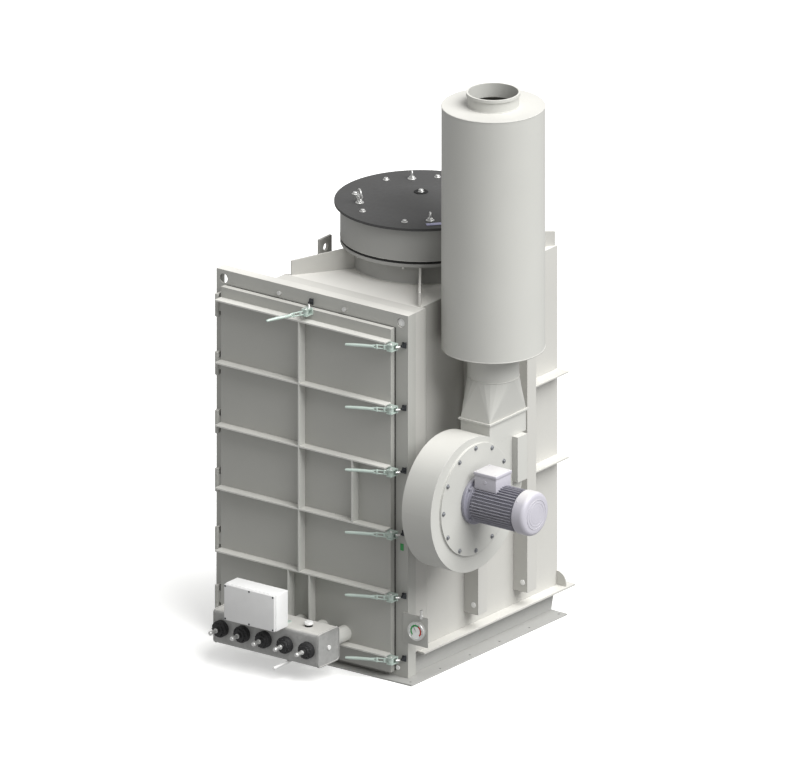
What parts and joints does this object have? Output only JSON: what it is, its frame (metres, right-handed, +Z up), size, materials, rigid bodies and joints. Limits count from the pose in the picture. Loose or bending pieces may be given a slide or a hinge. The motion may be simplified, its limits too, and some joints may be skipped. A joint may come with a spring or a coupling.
{
  "type": "baghouse dust collector",
  "caption": "Compact pulse-jet bag filter with a clamped side-hinged door, roof explosion vent, side-mounted fan and tall round outlet silencer.",
  "frame": {"origin": "centre of the base flange's underside, at the centre of its bolt pattern", "axes": "+X along the door face towards the fan, -Y towards the door side, +Z up"},
  "size_m": [1.915, 1.815, 3.068],
  "materials": {
    "grey_paint": "satin powder coat, light grey",
    "frame_paint": "satin powder coat, light grey",
    "door_paint": "satin powder coat, light grey",
    "skirt_paint": "satin powder coat, mid grey",
    "fan_paint": "satin powder coat, light grey",
    "lid_paint": "matt paint, dark grey",
    "gasket_rubber": "matt black",
    "zinc_steel": "zinc plated",
    "bolt_steel": "bright plated",
    "label_plate": "blank anodised plate",
    "motor_paint": "lavender grey enamel on cast aluminium",
    "tank_steel": "dark galvanised",
    "valve_body": "black",
    "fitting_white": "white",
    "box_plastic": "white moulded",
    "gauge_case": "black case, pale dial"
  },
  "bodies": {
    "housing": {"ledge": "grey_paint", "wall_left": "grey_paint", "wall_right": "grey_paint", "wall_back": "grey_paint", "roof_plate": "grey_paint", "chamber_shell": "grey_paint", "wall_ribs": "grey_paint", "wall_bars": "grey_paint", "roof_webs": "grey_paint", "lifting_lugs": "grey_paint", "vent_neck": "grey_paint", "vent_ring": "grey_paint", "base_flange": "grey_paint", "frame_left_post": "frame_paint", "frame_right_post": "frame_paint", "frame_top_beam": "frame_paint", "frame_sill": "frame_paint", "blanking_plate": "frame_paint", "gauge_plate": "frame_paint", "frame_hinges": "frame_paint", "skirt": "skirt_paint", "fan_spigot": "fan_paint", "fan_scroll": "fan_paint", "scroll_stiffener": "fan_paint", "fan_cover": "fan_paint", "fan_collar": "fan_paint", "fan_duct": "fan_paint", "silencer": "fan_paint", "vent_lid": "lid_paint", "vent_gasket": "gasket_rubber", "frame_studs": "bolt_steel", "vent_bolts": "bolt_steel", "vent_eyes": "bolt_steel", "cover_bolts": "bolt_steel", "label_plate": "label_plate", "motor": "motor_paint", "terminal_box": "motor_paint", "gauge": "gauge_case"},
    "door": {"door_panel": "door_paint", "door_ribs": "door_paint", "door_uprights": "door_paint", "door_hinges": "door_paint", "pulse_pipes": "door_paint", "clamp_brackets": "zinc_steel", "clamp_ears": "zinc_steel", "box_bracket": "zinc_steel", "header_tank": "tank_steel", "pulse_valves": "valve_body", "relief_valve": "fitting_white", "tank_fittings": "fitting_white", "control_box": "box_plastic"},
    "clamp_1": {"clamp_lever_1": "zinc_steel"},
    "clamp_2": {"clamp_lever_2": "zinc_steel"},
    "clamp_3": {"clamp_lever_3": "zinc_steel"},
    "clamp_4": {"clamp_lever_4": "zinc_steel"},
    "clamp_5": {"clamp_lever_5": "zinc_steel"},
    "clamp_6": {"clamp_lever_6": "zinc_steel"},
    "clamp_top": {"clamp_lever_top": "zinc_steel"}
  },
  "joints": [
    {"name": "door_hinge", "type": "hinge", "parent": "housing", "child": "door", "pos_m": [-0.729, -0.62, 0.98], "axis": [0, 0, -1], "range_deg": [0, 100]},
    {"name": "clamp_1_pivot", "type": "hinge", "parent": "door", "child": "clamp_1", "pos_m": [0.38, -0.658, 0.111], "axis": [0, 0, 1], "range_deg": [0, 120]},
    {"name": "clamp_2_pivot", "type": "hinge", "parent": "door", "child": "clamp_2", "pos_m": [0.38, -0.658, 0.444], "axis": [0, 0, 1], "range_deg": [0, 120]},
    {"name": "clamp_3_pivot", "type": "hinge", "parent": "door", "child": "clamp_3", "pos_m": [0.38, -0.658, 0.777], "axis": [0, 0, 1], "range_deg": [0, 120]},
    {"name": "clamp_4_pivot", "type": "hinge", "parent": "door", "child": "clamp_4", "pos_m": [0.38, -0.658, 1.11], "axis": [0, 0, 1], "range_deg": [0, 120]},
    {"name": "clamp_5_pivot", "type": "hinge", "parent": "door", "child": "clamp_5", "pos_m": [0.38, -0.658, 1.443], "axis": [0, 0, 1], "range_deg": [0, 120]},
    {"name": "clamp_6_pivot", "type": "hinge", "parent": "door", "child": "clamp_6", "pos_m": [0.38, -0.658, 1.776], "axis": [0, 0, 1], "range_deg": [0, 120]},
    {"name": "clamp_top_pivot", "type": "hinge", "parent": "door", "child": "clamp_top", "pos_m": [-0.15, -0.658, 1.85], "axis": [0, 0, 1], "range_deg": [-45, 75]}
  ]
}
